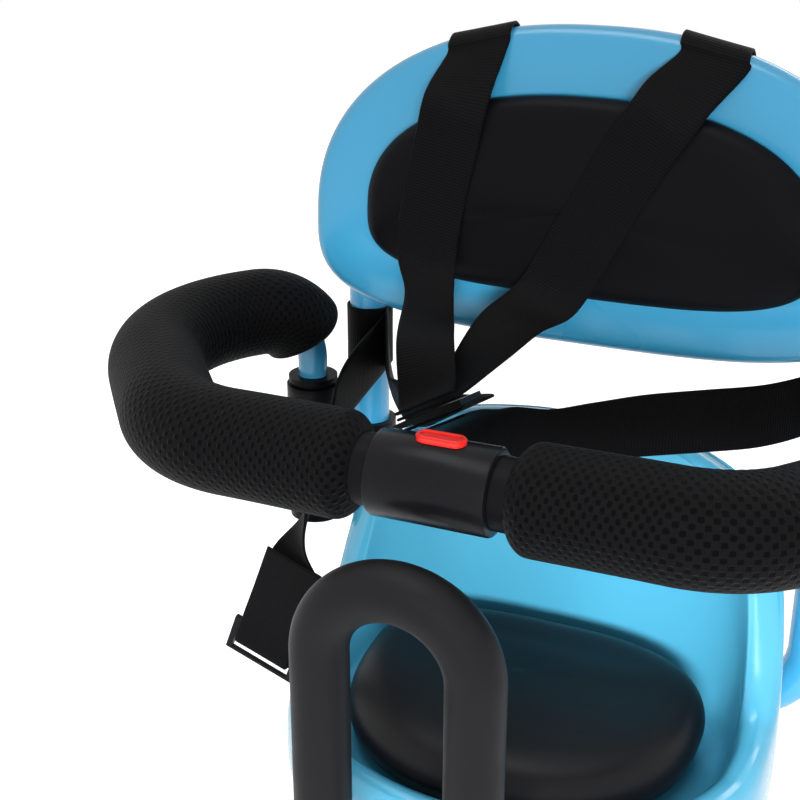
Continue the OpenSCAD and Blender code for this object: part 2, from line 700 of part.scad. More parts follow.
// The edge of the backrest under a strap, and the height of the strap's centre line over it
function edge_z(x) = back_mid + back_up * pow(1 - pow(abs(x) / back_half, 2.25), 1 / 2.25) - back_t / 2;
function edge_slope(x) = -sign(x) * back_up / back_half * pow(abs(x) / back_half, 1.25)
    * pow(1 - pow(abs(x) / back_half, 2.25), 1 / 2.25 - 1);
function over_edge(x) = [for (q = [-10, 30, 60, 90, 120, 150, 180])
    [on_back([x, edge_y + edge_r * cos(q), edge_z(x) + edge_r * sin(q)]), [1, 0, edge_slope(x)]]];
module shoulder_strap_right() {
    x = 64;
    down = [0.884, 0, -0.468];
    color(black) band(concat(
        [[on_back([x, behind_y, 72]), [1, 0, 0]], [on_back([x, behind_y, 108]), [1, 0, -0.05]]],
        over_edge(x),
        [[on_back([50, strap_y + 8, 138]), [0.9, 0, -0.4]], [on_back([42, strap_y + 1, 124]), down],
         [on_back([30, strap_y, 104]), down], [on_back([8, strap_y, 62]), down],
         [on_back([-12, strap_y - 2, 24]), [0.92, -0.1, -0.36]],
         [on_back([-27, strap_y - 22, 11]), [0.95, -0.1, -0.1]],
         [on_back([-36, strap_y - 50, -6]), [0.92, 0, 0.3]],
         [slider_c + slider_f * 4.6 + slider_b * 12, slider_a],
         [slider_c + slider_f * 3.4 - slider_b * 6, slider_a]]), 3);
}
module shoulder_strap_left() {
    x = -67;
    down = [0.982, 0, -0.19];
    color(black) band(concat(
        [[on_back([x, behind_y, 72]), [1, 0, 0]], [on_back([x, behind_y, 108]), [1, 0, 0.05]]],
        over_edge(x),
        [[on_back([-72, strap_y + 8, 136]), [1, 0, 0]], [on_back([-74, strap_y + 1, 122]), down],
         [on_back([-77, strap_y, 104]), down], [on_back([-85, strap_y, 62]), down],
         [on_back([-86, strap_y - 2, 32]), [0.97, -0.1, -0.19]],
         [on_back([-77, strap_y - 18, 15]), [0.93, -0.33, -0.1]],
         [on_back([-66, strap_y - 50, 4]), [0.94, -0.1, 0.28]],
         [slider_c + slider_f * 9.8 + slider_b * 12 - slider_a * 6, slider_a],
         [slider_c + slider_f * 6.8 - slider_b * 6, slider_a]]), 3);
}
loop_z = -30;
module strap_loop() {
    inner = hoop_d / 2 + seat_gap;
    translate([upright_x, upright_y, guard_height + loop_z - web_w / 2]) difference() {
        cylinder(r = inner + web_t, h = web_w);
        translate([0, 0, -cut]) cylinder(r = inner, h = web_w + 2 * cut);
    }
}
loop_x = upright_x - hoop_d / 2 - seat_gap - web_t / 2;
loop_at = guard_height + loop_z;
up = [0, 0, 1];
// Stations of a lap strap from its loop on the upright, on the side given by the sign s
function from_loop(s) = [[[s * loop_x, upright_y + 2, loop_at], up],
    [[s * (loop_x - 1), upright_y - 5, loop_at], up],
    [[s * (loop_x - 6), upright_y - 17, loop_at - 1], up]];
// Stations of its end at the centre slider, at the depth f under the plate
function to_slider(f) = [[slider_c - slider_f * (f + 6) + slider_b * 36, slider_a],
    [slider_c - slider_f * (f + 2) + slider_b * 17, slider_a],
    [slider_c - slider_f * f - slider_b * 4, slider_a]];
module waist_strap_right() {
    color(black) {
        strap_loop();
        band(concat(from_loop(1),
             [[[108, 84, loop_at - 2], up], [[80, 67, loop_at - 3], up],
              [[50, 52, loop_at - 5], [0.05, 0, 1]], [[22, 42, loop_at - 10], [0.15, 0, 1]],
              [[-4, 35, loop_at - 14], [0.35, 0, 0.93]],
              [[-26, 27, loop_at - 9], [0.65, 0, 0.75]]], to_slider(7)), 3);
    }
}
// The left waist strap runs to the centre too, and its tail hangs over the side of the
// seat and comes up through its slider
hang_c = [-168, 5, rim_front - 3];
hang_lean = 20;
function on_hang(p) = hang_c + [p[0] * cos(hang_lean) + p[2] * sin(hang_lean), p[1],
                                p[2] * cos(hang_lean) - p[0] * sin(hang_lean)];
module waist_strap_left() {
    flat = [-cos(hang_lean), 0, sin(hang_lean)];
    turn_r = 4.1;
    color(black) {
        mirror([1, 0, 0]) strap_loop();
        band(concat(from_loop(-1),
             [[[-116, 86, loop_at - 12], [-0.15, 0, 1]], [[-101, 64, loop_at - 16], [-0.4, 0, 0.9]],
              [[-86, 48, loop_at - 11], [-0.75, 0, 0.65]], [[-69, 34, loop_at + 3], [-0.97, 0, 0.1]],
              [slider_c - slider_f * 4 + slider_b * 36, -slider_a],
              [slider_c - slider_f * 3.6 + slider_b * 17, -slider_a],
              [slider_c - slider_f * 3.3 - slider_b * 4, -slider_a]]), 3);
        band(concat([[[-loop_x + 1.5, upright_y + 1, loop_at], up],
              [[-loop_x + 1, upright_y - 14, loop_at - 4], up], [[-135, 72, loop_at - 14], up],
              [[-136, 45, loop_at - 26], [0, 0.35, 1]], [[-136, 26, loop_at - 46], [0, 0.9, 0.5]],
              [[-136, 14, loop_at - 70], [-0.25, 0.95, 0.1]],
              [[-141, 10, loop_at - 92], [-0.5, 0.85, 0.05]],
              [on_hang([0, turn_r, 56]), flat], [on_hang([0, turn_r, 20]), flat]],
              [for (q = [0:45:180]) [on_hang([0, turn_r * cos(q), -turn_r * sin(q)]), flat]],
              [[on_hang([0, -turn_r, 20]), flat], [on_hang([1, -turn_r - 2, 45]), flat],
               [on_hang([2, -turn_r - 5, 78]), flat]]), 3);
    }
}
slider_l = 48;
slider_h = 25;
slider_plate = 3;
module slider_plate_shape() {
    slot_l = web_w + 2;
    translate([0, slider_plate / 2, 0]) rotate([90, 0, 0]) linear_extrude(slider_plate) difference() {
        translate([-slider_l / 2, -slider_h / 2]) square([slider_l, slider_h]);
        for (s = [-1, 1]) translate([-slot_l / 2, s * 6.6 - 4]) square([slot_l, 8]);
    }
}
module waist_slider() {
    color(grey) translate(hang_c) rotate([0, hang_lean, 0]) slider_plate_shape();
}
module centre_slider() {
    m = [for (k = [0:2]) [slider_a[k], slider_f[k], slider_b[k], slider_c[k]]];
    color(grey) multmatrix([m[0], m[1], m[2], [0, 0, 0, 1]]) slider_plate_shape();
}

seat_shell();
seat_cushion();
backrest();
back_cushion();
back_hoop();
back_bolts();
main_frame();
handle_grip();
rail_plugs();
hoop_caps();
seat_bolts();
guard_post_left();
guard_post_right();
post_bush_left();
post_bush_right();
guard_tube_left();
guard_tube_right();
sleeve_left();
sleeve_right();
clasp_body();
collar_left();
collar_right();
release_button();
latch_slider();
button_spring();
shoulder_strap_left();
shoulder_strap_right();
waist_strap_left();
waist_strap_right();
centre_slider();
waist_slider();
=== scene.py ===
import math
import bpy
import numpy as np
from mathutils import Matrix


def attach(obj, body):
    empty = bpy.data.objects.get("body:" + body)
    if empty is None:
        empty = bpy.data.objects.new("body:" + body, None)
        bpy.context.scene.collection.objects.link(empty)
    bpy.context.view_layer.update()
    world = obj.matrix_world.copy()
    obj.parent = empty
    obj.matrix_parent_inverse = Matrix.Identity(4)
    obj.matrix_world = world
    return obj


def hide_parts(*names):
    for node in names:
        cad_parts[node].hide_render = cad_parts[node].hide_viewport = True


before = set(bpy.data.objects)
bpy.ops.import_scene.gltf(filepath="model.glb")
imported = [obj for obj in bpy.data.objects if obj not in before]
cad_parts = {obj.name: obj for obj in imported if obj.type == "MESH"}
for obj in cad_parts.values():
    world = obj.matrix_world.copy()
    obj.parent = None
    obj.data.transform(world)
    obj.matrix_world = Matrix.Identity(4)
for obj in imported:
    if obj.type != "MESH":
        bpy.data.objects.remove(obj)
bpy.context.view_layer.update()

SEAT = "seat"
LEFT_ARM = "guard_left"
RIGHT_ARM = "guard_right"

# Viewpoint
# The camera stands above and to the child's left of the handle, and looks down into the
# seat as a grown-up does who is about to open the guard.
camera_data = bpy.data.cameras.new("viewpoint")
camera_data.lens = 63.0
camera_data.sensor_width = 36.0
camera_data.clip_start = 0.02
camera = bpy.data.objects.new("viewpoint", camera_data)
camera.location = (0.2099, -0.6501, 0.5667)
camera.rotation_euler = (math.radians(67.5), 0.0, math.radians(23.5))
bpy.context.scene.collection.objects.link(camera)
bpy.context.scene.camera = camera

# Main frame: bent tube, base plate and seat bars
# Steel tube and flat bar, welded, then dipped and powder coated in satin black. The coat
# has a faint orange-peel texture and is a little duller where it lies thick.


def surface_group():
    """Node group: a fine random grain for the normal, and a slow random drift of colour and roughness."""
    g = bpy.data.node_groups.new("surface_grain", "ShaderNodeTree")
    for label, kind in (("Base", "NodeSocketColor"), ("Drift", "NodeSocketColor"),
                        ("Drift Scale", "NodeSocketFloat"), ("Grain Scale", "NodeSocketFloat"),
                        ("Grain Depth", "NodeSocketFloat"), ("Rough Low", "NodeSocketFloat"),
                        ("Rough High", "NodeSocketFloat")):
        g.interface.new_socket(label, in_out="INPUT", socket_type=kind)
    for label, kind in (("Colour", "NodeSocketColor"), ("Roughness", "NodeSocketFloat"),
                        ("Normal", "NodeSocketVector")):
        g.interface.new_socket(label, in_out="OUTPUT", socket_type=kind)
    n, link = g.nodes, g.links.new
    gi, go = n.new("NodeGroupInput"), n.new("NodeGroupOutput")
    place = n.new("ShaderNodeTexCoord")
    drift = n.new("ShaderNodeTexNoise")
    drift.inputs["Detail"].default_value = 2.0
    grain = n.new("ShaderNodeTexNoise")
    grain.inputs["Detail"].default_value = 3.0
    mix = n.new("ShaderNodeMix")
    mix.data_type = "RGBA"
    rough = n.new("ShaderNodeMapRange")
    bump = n.new("ShaderNodeBump")
    bump.inputs["Strength"].default_value = 0.5
    link(place.outputs["Object"], drift.inputs["Vector"])
    link(place.outputs["Object"], grain.inputs["Vector"])
    link(gi.outputs["Drift Scale"], drift.inputs["Scale"])
    link(gi.outputs["Grain Scale"], grain.inputs["Scale"])
    link(drift.outputs["Fac"], mix.inputs["Factor"])
    link(gi.outputs["Base"], mix.inputs["A"])
    link(gi.outputs["Drift"], mix.inputs["B"])
    link(drift.outputs["Fac"], rough.inputs["Value"])
    rough.inputs["From Min"].default_value = 0.3
    rough.inputs["From Max"].default_value = 0.7
    link(gi.outputs["Rough Low"], rough.inputs["To Min"])
    link(gi.outputs["Rough High"], rough.inputs["To Max"])
    link(grain.outputs["Fac"], bump.inputs["Height"])
    link(gi.outputs["Grain Depth"], bump.inputs["Distance"])
    link(mix.outputs["Result"], go.inputs["Colour"])
    link(rough.outputs["Result"], go.inputs["Roughness"])
    link(bump.outputs["Normal"], go.inputs["Normal"])
    return g


SURFACE = surface_group()


def grained(name, base, drift, rough, grain=(900.0, 0.00006), drift_scale=14.0, **sockets):
    """A material whose colour runs from base to drift and whose roughness stays within rough."""
    m = bpy.data.materials.new(name)
    m.use_nodes = True
    tree = m.node_tree
    shader = tree.nodes["Principled BSDF"]
    s = tree.nodes.new("ShaderNodeGroup")
    s.node_tree = SURFACE
    s.inputs["Base"].default_value = (*base, 1)
    s.inputs["Drift"].default_value = (*drift, 1)
    s.inputs["Drift Scale"].default_value = drift_scale
    s.inputs["Grain Scale"].default_value = grain[0]
    s.inputs["Grain Depth"].default_value = grain[1]
    s.inputs["Rough Low"].default_value = rough[0]
    s.inputs["Rough High"].default_value = rough[1]
    tree.links.new(s.outputs["Colour"], shader.inputs["Base Color"])
    tree.links.new(s.outputs["Roughness"], shader.inputs["Roughness"])
    tree.links.new(s.outputs["Normal"], shader.inputs["Normal"])
    for k, v in sockets.items():
        shader.inputs[k.replace("_", " ")].default_value = v
    return m


def coat_node(node, material, crease=32.0):
    """Gives a frame solid its finish; its triangles are welded and split again only at creases."""
    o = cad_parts[node]
    o.data.materials.clear()
    o.data.materials.append(material)
    o.data.polygons.foreach_set("use_smooth", np.ones(len(o.data.polygons), bool))
    weld = o.modifiers.new("weld", "WELD")
    weld.merge_threshold = 0.00002
    split = o.modifiers.new("creases", "EDGE_SPLIT")
    split.split_angle = math.radians(crease)
    return o


black_coat = grained("black_powder_coat", (0.004, 0.004, 0.005), (0.006, 0.006, 0.007), (0.34, 0.44),
                     grain=(1400.0, 0.00005), Specular_IOR_Level=0.10)
coat_node("main_frame", black_coat)

plug_plastic = grained("black_plastic", (0.0035, 0.0035, 0.004), (0.005, 0.005, 0.006), (0.38, 0.5),
                       grain=(2200.0, 0.00004), Specular_IOR_Level=0.06)
coat_node("rail_plugs", plug_plastic)

# Handle grip
# A tube of closed-cell foam, pushed over the bent handle. Its skin is matt and soft to the
# light, with the pores of the foam just showing.
grip_foam = grained("foam_grip", (0.006, 0.006, 0.007), (0.008, 0.008, 0.009), (0.44, 0.56),
                    grain=(2600.0, 0.00008), drift_scale=30.0, Specular_IOR_Level=0.14)
coat_node("handle_grip", grip_foam)

# Back hoop, caps and bolts
# Two tube uprights joined by a bent cross tube and two flat bars, powder coated in the
# seat's blue; the open tube ends are stopped with black caps.
blue_coat = grained("blue_powder_coat", (0.050, 0.340, 0.600), (0.058, 0.370, 0.640), (0.20, 0.28),
                    grain=(1200.0, 0.00004), Coat_Weight=0.35, Coat_Roughness=0.12)
coat_node("back_hoop", blue_coat)
coat_node("hoop_caps", plug_plastic)
zinc = grained("zinc_plate", (0.50, 0.50, 0.52), (0.62, 0.62, 0.63), (0.26, 0.38),
               grain=(3000.0, 0.00002), drift_scale=90.0, Metallic=1.0)
coat_node("back_bolts", zinc)
coat_node("seat_bolts", zinc)

# Guard posts and bushes
# Black coated posts clamped to the uprights; each holds a moulded bush with a flange and a
# groove, in which the guard's tube turns.
for post in ("guard_post_left", "guard_post_right"):
    coat_node(post, black_coat)
for bush in ("post_bush_left", "post_bush_right"):
    coat_node(bush, plug_plastic)

# Seat shell
# One injection moulding in glossy blue: a bowl with a rolled rim that climbs from the low
# front to a high lip behind the child, hollow and ribbed under the pan.
blue_plastic = grained("blue_plastic", (0.070, 0.375, 0.570), (0.076, 0.390, 0.590), (0.20, 0.27),
                       grain=(700.0, 0.00003), drift_scale=7.0, Coat_Weight=0.4,
                       Coat_Roughness=0.08, Specular_IOR_Level=0.5)


def superellipse(t, a, up, down, n_up, n_down):
    """Points a*|sin|^(2/n) across and -b*|cos|^(2/n) along, with b and n of the front or the rear half."""
    front = np.cos(t) > 0
    n = np.where(front, n_down, n_up)
    b = np.where(front, down, up)
    return (a * np.sign(np.sin(t)) * np.abs(np.sin(t)) ** (2 / n),
            -b * np.sign(np.cos(t)) * np.abs(np.cos(t)) ** (2 / n))


def flow(points, steps):
    """Catmull-Rom through a list of equal arrays: each span cut in steps, last one kept."""
    p = np.asarray(points, float)
    p = np.concatenate([p[:1], p, p[-1:]])
    out = []
    for k in range(1, len(p) - 2):
        a, b, c, d = p[k - 1], p[k], p[k + 1], p[k + 2]
        for u in np.arange(steps) / steps:
            out.append(0.5 * (2 * b + (c - a) * u + (2 * a - 5 * b + 4 * c - d) * u * u
                              + (3 * b - a - 3 * c + d) * u ** 3))
    out.append(p[-2])
    return np.array(out)


def put(name, points, faces, material, uv=None):
    """A mesh object at the origin from points in millimetres and a list of faces."""
    mesh = bpy.data.meshes.new(name)
    mesh.from_pydata((np.asarray(points, float) * 0.001).tolist(), [], faces)
    mesh.polygons.foreach_set("use_smooth", np.ones(len(mesh.polygons), bool))
    if uv is not None:
        loops = np.zeros(len(mesh.loops), np.int32)
        mesh.loops.foreach_get("vertex_index", loops)
        layer = mesh.uv_layers.new(name="along")
        layer.data.foreach_set("uv", np.asarray(uv, np.float32)[loops].ravel())
    mesh.materials.append(material)
    o = bpy.data.objects.new(name, mesh)
    bpy.context.scene.collection.objects.link(o)
    return o


def closed_rings(rings):
    """Faces of a loft through rings (k, n, 3) with both ends closed by one face each."""
    k, n = rings.shape[:2]
    i = np.arange(n)
    j = (i + 1) % n
    sides = [np.stack([r * n + i, r * n + j, (r + 1) * n + j, (r + 1) * n + i], 1)
             for r in range(k - 1)]
    faces = np.concatenate(sides).tolist()
    return [i[::-1].tolist()] + faces + [((k - 1) * n + i).tolist()]


SEAT_MID = 20.0
SEAT_LOW = 31.0
PAN = 71.0
WALL = 5.0


def crest_height(t):
    """Height of the rim: low in front, an S-shaped climb at the rear corners, then the lip."""
    s = np.degrees(np.minimum(t, 2 * np.pi - t))
    knots = [0, 75, 90, 100, 110, 120, 135, 150, 165, 180]
    share = [0, 0.005, 0.05, 0.20, 0.41, 0.62, 0.79, 0.89, 0.96, 1.0]
    fine = np.interp(np.arange(0, 181), knots, share)
    wide = np.concatenate([fine[10:0:-1], fine, fine[-2:-12:-1]])
    soft = np.convolve(wide, np.hanning(9) / np.hanning(9).sum(), "same")[10:-10]
    return 90.0 + 153.0 * np.interp(s, np.arange(0, 181), soft)


def seat_ring(t, d, z, share):
    """The shell's superellipse, grown by d across and by d*share along, at height z."""
    x, y = superellipse(t, 130.0 + d, 68.0 + d * share, 113.0 + d * share, 3.6, 2.15)
    return np.stack([x, y + SEAT_MID, np.broadcast_to(z, t.shape)], 1)


def seat_rings():
    """Rings from the middle of the hollow, down its wall, up the outside, over the rim and into
    the bowl; each ring is a superellipse, and the rings between are Catmull-Rom."""
    t = np.linspace(0, 2 * np.pi, 288, endpoint=False)
    c = crest_height(t)

    def rise(low, drop, f):
        """Height low + (crest - drop - low)*f at each angle."""
        return low + (c - drop - low) * f
    roof = seat_ring(t, 2 - WALL, PAN - WALL, 1)
    centre = np.array([0, SEAT_MID - 12, 0])
    under = [seat_ring(t, 11 - WALL, PAN - WALL - 6, 1), seat_ring(t, 12 - WALL, SEAT_LOW + 14, 1),
             seat_ring(t, 8 - WALL, SEAT_LOW, 1)]
    outside = [seat_ring(t, 1, SEAT_LOW, 1), seat_ring(t, 8, SEAT_LOW + 4, 1),
               seat_ring(t, 12, SEAT_LOW + 14, 1), seat_ring(t, 13, rise(SEAT_LOW + 14, 12, 0.5), 1),
               seat_ring(t, 12, rise(SEAT_LOW + 14, 12, 1), 1), seat_ring(t, 9, c - 4, 1),
               seat_ring(t, 5, c - 1, 1), seat_ring(t, 1, c, 1), seat_ring(t, -3, c - 1, 1),
               seat_ring(t, -6, c - 4, 0.9), seat_ring(t, -8, rise(PAN, 9, 1), 0.8),
               seat_ring(t, -9, rise(PAN, 9, 0.55), 0.7), seat_ring(t, -12, rise(PAN, 9, 0.2), 0.6),
               seat_ring(t, -16, rise(PAN, 9, 0.06), 0.55), seat_ring(t, -22, PAN, 0.5)]
    floor = outside[-1]
    hollow = [roof * (f, f, 1) + centre * (1 - f, 1 - f, 0) for f in (0.03, 0.5, 0.97)] + [roof]
    pan = [floor * (f, f, 1) + centre * (1 - f, 1 - f, 0) for f in (0.97, 0.5, 0.03)]
    return np.concatenate([np.array(hollow), flow(under, 3), flow(outside, 6), np.array(pan)])


def boxes(spans):
    """Corners and outward faces of plain slabs, each given by its lowest and highest corner."""
    unit = np.array([[i & 1, i >> 1 & 1, i >> 2 & 1] for i in range(8)], float)
    quad = np.array([[0, 2, 3, 1], [4, 5, 7, 6], [0, 1, 5, 4], [2, 6, 7, 3], [0, 4, 6, 2], [1, 3, 7, 5]])
    points = np.concatenate([np.array(lo) + unit * (np.array(hi) - np.array(lo)) for lo, hi in spans])
    faces = np.concatenate([quad + 8 * k for k in range(len(spans))]).tolist()
    return points, faces


shell_rings = seat_rings()
shell = put("seat_shell_skin", shell_rings.reshape(-1, 3), closed_rings(shell_rings), blue_plastic)
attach(shell, SEAT)
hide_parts("seat_shell")

RIBS_ACROSS, RIBS_FRONT, RIBS_REAR = 136.0, 118.0, 74.0
RIB_HALF = 1.5
RIB_FOOT, RIB_TOP = SEAT_LOW + 0.5, PAN - 4


def rib_reach(longest, share, n):
    """Length longest*(1-share^n)^(1/n) of a rib that stands at share of the way to the wall."""
    return longest * max(0.0, 1 - abs(share) ** n) ** (1 / n)


spans = []
for at in range(-100, 101, 40):
    x = rib_reach(RIBS_ACROSS, (at - SEAT_MID) / (RIBS_FRONT if at < SEAT_MID else RIBS_REAR), 2.4)
    if x > 10:
        spans.append(([-x, at - RIB_HALF, RIB_FOOT], [x, at + RIB_HALF, RIB_TOP]))
    front = rib_reach(RIBS_FRONT, at / RIBS_ACROSS, 2.15)
    rear = rib_reach(RIBS_REAR, at / RIBS_ACROSS, 3.6)
    spans.append(([at - RIB_HALF, SEAT_MID - front, RIB_FOOT], [at + RIB_HALF, SEAT_MID + rear, RIB_TOP]))
ribs = put("seat_ribs", *boxes(spans), blue_plastic)
ribs.data.polygons.foreach_set("use_smooth", np.zeros(len(ribs.data.polygons), bool))
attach(ribs, SEAT)

turn = np.linspace(0, 2 * np.pi, 40, endpoint=False)
boss_profile = [(3.3, 45), (3.3, 31.0), (7.6, 31.0), (8.0, 31.4), (8.0, 66)]
points, faces = [], []
for sx in (-65, 65):
    for sy in (-50, 50):
        rings = np.array([np.stack([sx + r * np.cos(turn), sy + r * np.sin(turn), turn * 0 + z], 1)
                          for r, z in boss_profile])
        start = sum(len(p) for p in points)
        faces += [[v + start for v in f] for f in closed_rings(rings)]
        points.append(rings.reshape(-1, 3))
bosses = put("seat_bosses", np.concatenate(points), faces, blue_plastic)
split = bosses.modifiers.new("creases", "EDGE_SPLIT")
split.split_angle = math.radians(35)
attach(bosses, SEAT)

# Seat cushion
# A thick moulded foam pad under a smooth black leatherette skin. The skin is stretched
# over the foam, which swells a little above its bonded foot; the seat's is a shade glossier
# than the back's.
skin = grained("black_leatherette", (0.003, 0.003, 0.0035), (0.004, 0.004, 0.005), (0.36, 0.46),
               grain=(2400.0, 0.00010), drift_scale=20.0, Specular_IOR_Level=0.06)
seat_skin = skin.copy()
seat_skin.name = "black_leatherette_seat"
seat_skin.node_tree.nodes["Principled BSDF"].inputs["Specular IOR Level"].default_value = 0.22


def pad_rings(outline, steps, n=120):
    """Rings from foot to crown: each step is (distance inside the outline, share of thickness)."""
    t = np.linspace(0, 2 * np.pi, n, endpoint=False)
    return np.array([outline(t, inset, height) for inset, height in steps])


def swell(name, rings, material, pinned, pressure, cap):
    """Cloth simulation of a closed pad under inner pressure: the first pinned rings are held,
    no point moves more than cap, and the result becomes the mesh."""
    o = put(name, rings.reshape(-1, 3), closed_rings(rings), material)
    n = rings.shape[1]
    held = o.vertex_groups.new(name="held")
    held.add(list(range(pinned * n)), 1.0, "REPLACE")
    cloth = o.modifiers.new("swell", "CLOTH")
    cloth.settings.vertex_group_mass = "held"
    cloth.settings.use_pressure = True
    cloth.settings.uniform_pressure_force = pressure
    cloth.settings.effector_weights.gravity = 0.0
    cloth.settings.quality = 6
    cloth.settings.mass = 0.3
    cloth.settings.tension_stiffness = 20
    cloth.settings.compression_stiffness = 20
    cloth.settings.bending_stiffness = 2.0
    rest = np.zeros(len(o.data.vertices) * 3)
    o.data.vertices.foreach_get("co", rest)
    scene = bpy.context.scene
    for f in range(1, 21):
        scene.frame_set(f)
    shaped = o.evaluated_get(bpy.context.evaluated_depsgraph_get())
    moved = np.zeros_like(rest)
    shaped.data.vertices.foreach_get("co", moved)
    o.modifiers.remove(cloth)
    scene.frame_set(1)
    step = (moved - rest).reshape(-1, 3)
    far = np.linalg.norm(step, axis=1, keepdims=True)
    step *= np.minimum(1.0, cap / np.maximum(far, 1e-9))
    grid = step.reshape(rings.shape)
    for _ in range(24):
        grid = (np.roll(grid, 1, 1) + 2 * grid + np.roll(grid, -1, 1)) / 4
        grid[1:-1] = (grid[:-2] + 2 * grid[1:-1] + grid[2:]) / 4
    grid[:pinned] = 0
    o.data.vertices.foreach_set("co", rest + grid.reshape(-1))
    o.data.update()
    return o


PAD_THICK = 41.0
PAD_RISE = 20.0


def seat_pad(t, inset, height):
    """The cushion's superellipse less inset, lifted by rise*back^4 of its thickness towards the back."""
    x, y = superellipse(t, 104.0 - inset, 53.0 - inset, 99.0 - inset, 2.9, 2.2)
    rise = PAD_RISE * ((y + 99.0) / 152.0) ** 4
    return np.stack([x, y + SEAT_MID, PAN + height + rise * height / PAD_THICK], 1)


def dome(rings, lift, axis, n=10):
    """Rings that shrink from the last one to its middle, rising by lift*(1-f^2) along axis."""
    last = rings[-1]
    mid = last.mean(0)
    f = np.linspace(1, 0.02, n + 1)[1:, None, None]
    return np.concatenate([rings, mid + (last - mid) * f + (1 - f ** 2) * lift * np.asarray(axis)])


steps = flow([(12, 0.8), (4, 4.0), (0.5, 12), (0.5, 18), (3, 25), (9, 31.5), (20, 36), (36, 38.6)], 3)
pad = dome(pad_rings(seat_pad, steps), 2.0, (0, 0, 1))
seat_cushion = swell("seat_cushion_skin", pad, seat_skin, 6, 3.0, 0.0022)
seat_cushion.modifiers.new("finish", "SUBSURF").levels = 1
seat_cushion.modifiers["finish"].render_levels = 1
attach(seat_cushion, SEAT)
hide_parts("seat_cushion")

# Backrest
# A thick oval plate in the seat's blue, its rim rounded all over and slightly raised round
# the cushion. Its colour is painted shade: a darker copy of the seat's blue, because the lamps
# light the plate more than the seat's wall. It leans back a few degrees on the uprights' flat bars.
LEAN = math.radians(3.4)
BACK_FACE = -16.65
BACK_FRONT = BACK_FACE - 18.0
UPRIGHT_X, UPRIGHT_Y, UPRIGHT_R = 147.0, 122.0, 12.5
GUARD_Z = 293.0


def on_back(p):
    """Place on the back (across, behind the uprights, up), leaned about the guard's height."""
    p = np.asarray(p, float)
    y = UPRIGHT_Y + p[..., 1] * math.cos(LEAN) + p[..., 2] * math.sin(LEAN)
    z = GUARD_Z - p[..., 1] * math.sin(LEAN) + p[..., 2] * math.cos(LEAN)
    return np.stack([p[..., 0], y, z], -1)


def back_ring(t, size, inset, y):
    """A superellipse of size (half across, up, down, middle) less inset, y behind the uprights."""
    a, up, down, mid = size
    x, z = superellipse(t, a - inset, up - inset, down - inset, 2.25, 3.4)
    return on_back(np.stack([x, t * 0 + y, z + mid], 1))


t = np.linspace(0, 2 * np.pi, 240, endpoint=False)
PLATE = (170.0, 118.0, 62.0, 52.0)
RIM_R = 9.0
q = np.radians(np.linspace(-90, 90, 17))
RIM_Y = (BACK_FACE + BACK_FRONT) / 2
rim = [(RIM_R * (1 - np.cos(a)), RIM_Y - RIM_R * np.sin(a)) for a in q]
front = flow([(9, BACK_FRONT), (15, BACK_FRONT - 0.7), (22, BACK_FRONT - 0.9), (29, BACK_FRONT - 0.5),
              (34, BACK_FRONT)], 4)[1:]
rings = [back_ring(t, PLATE, inset, BACK_FACE) for inset in (48, 30, 12)]
rings += [back_ring(t, PLATE, inset, y) for inset, y in rim]
rings += [back_ring(t, PLATE, inset, y) for inset, y in front]
rings += [back_ring(t, PLATE, 50, BACK_FRONT)]
rings = np.array(rings)
# Painted shade: this blue is a darker copy of the seat's blue, so the brightly lit plate comes out as dark
# as the seat's wall.
back_plastic_painted_shade = grained("back_plastic_painted_shade", (0.036, 0.262, 0.450), (0.039, 0.272, 0.465), (0.26, 0.33),
                       grain=(700.0, 0.00003), drift_scale=7.0, Coat_Weight=0.3,
                       Coat_Roughness=0.12)
backrest = put("backrest_skin", rings.reshape(-1, 3), closed_rings(rings), back_plastic_painted_shade)
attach(backrest, SEAT)
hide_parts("backrest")

# Back cushion
# The same leatherette over foam, an oval pad bonded to the plate, drawn in round its edge.
PAD = (131.0, 71.5, 41.5, 62.0)


def back_pad(t, inset, height):
    """The back cushion's outline less inset, height in front of the plate."""
    return back_ring(t, PAD, inset, BACK_FRONT - 0.3 - height)


steps = flow([(7, 0), (2.4, 1.8), (0.4, 5), (1.8, 9), (6, 12.8), (14, 15.2), (24, 16.2)], 3)
pad = dome(pad_rings(back_pad, steps), 0.8, on_back([0, -1, 0]) - on_back([0, 0, 0]))
back_cushion = swell("back_cushion_skin", pad, skin, 5, 2.0, 0.0015)
back_cushion.modifiers.new("finish", "SUBSURF").levels = 1
back_cushion.modifiers["finish"].render_levels = 1
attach(back_cushion, SEAT)
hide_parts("back_cushion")

# Guard tubes
# Bent steel tube in the seat's blue; it shows between each sleeve and its bush.
coat_node("guard_tube_left", blue_coat)
coat_node("guard_tube_right", blue_coat)

# Foam sleeves
# Foam tubes in a cover of black spacer mesh, an open knit whose oval holes stand in
# staggered rows; the cover is drawn in at its ends and creases inside the bends.


def maths(tree):
    """Two helpers for a material: one Math node, and a sine or cosine of a coordinate."""

    def math_node(op, a, b=None):
        """The output of one Math node; an input is a number or another node's output."""
        k = tree.nodes.new("ShaderNodeMath")
        k.operation = op
        for i, v in enumerate((a, b)):
            if isinstance(v, float):
                k.inputs[i].default_value = v
            elif v is not None:
                tree.links.new(v, k.inputs[i])
        return k.outputs["Value"]

    def wave(op, value, pitch):
        """op(2*pi*value/pitch)."""
        return math_node(op, math_node("MULTIPLY", value, 2 * math.pi / pitch))
    return math_node, wave


HOLE_PITCH = 4.8
HOLES_ROUND = 25
SLEEVE_R = 25.9


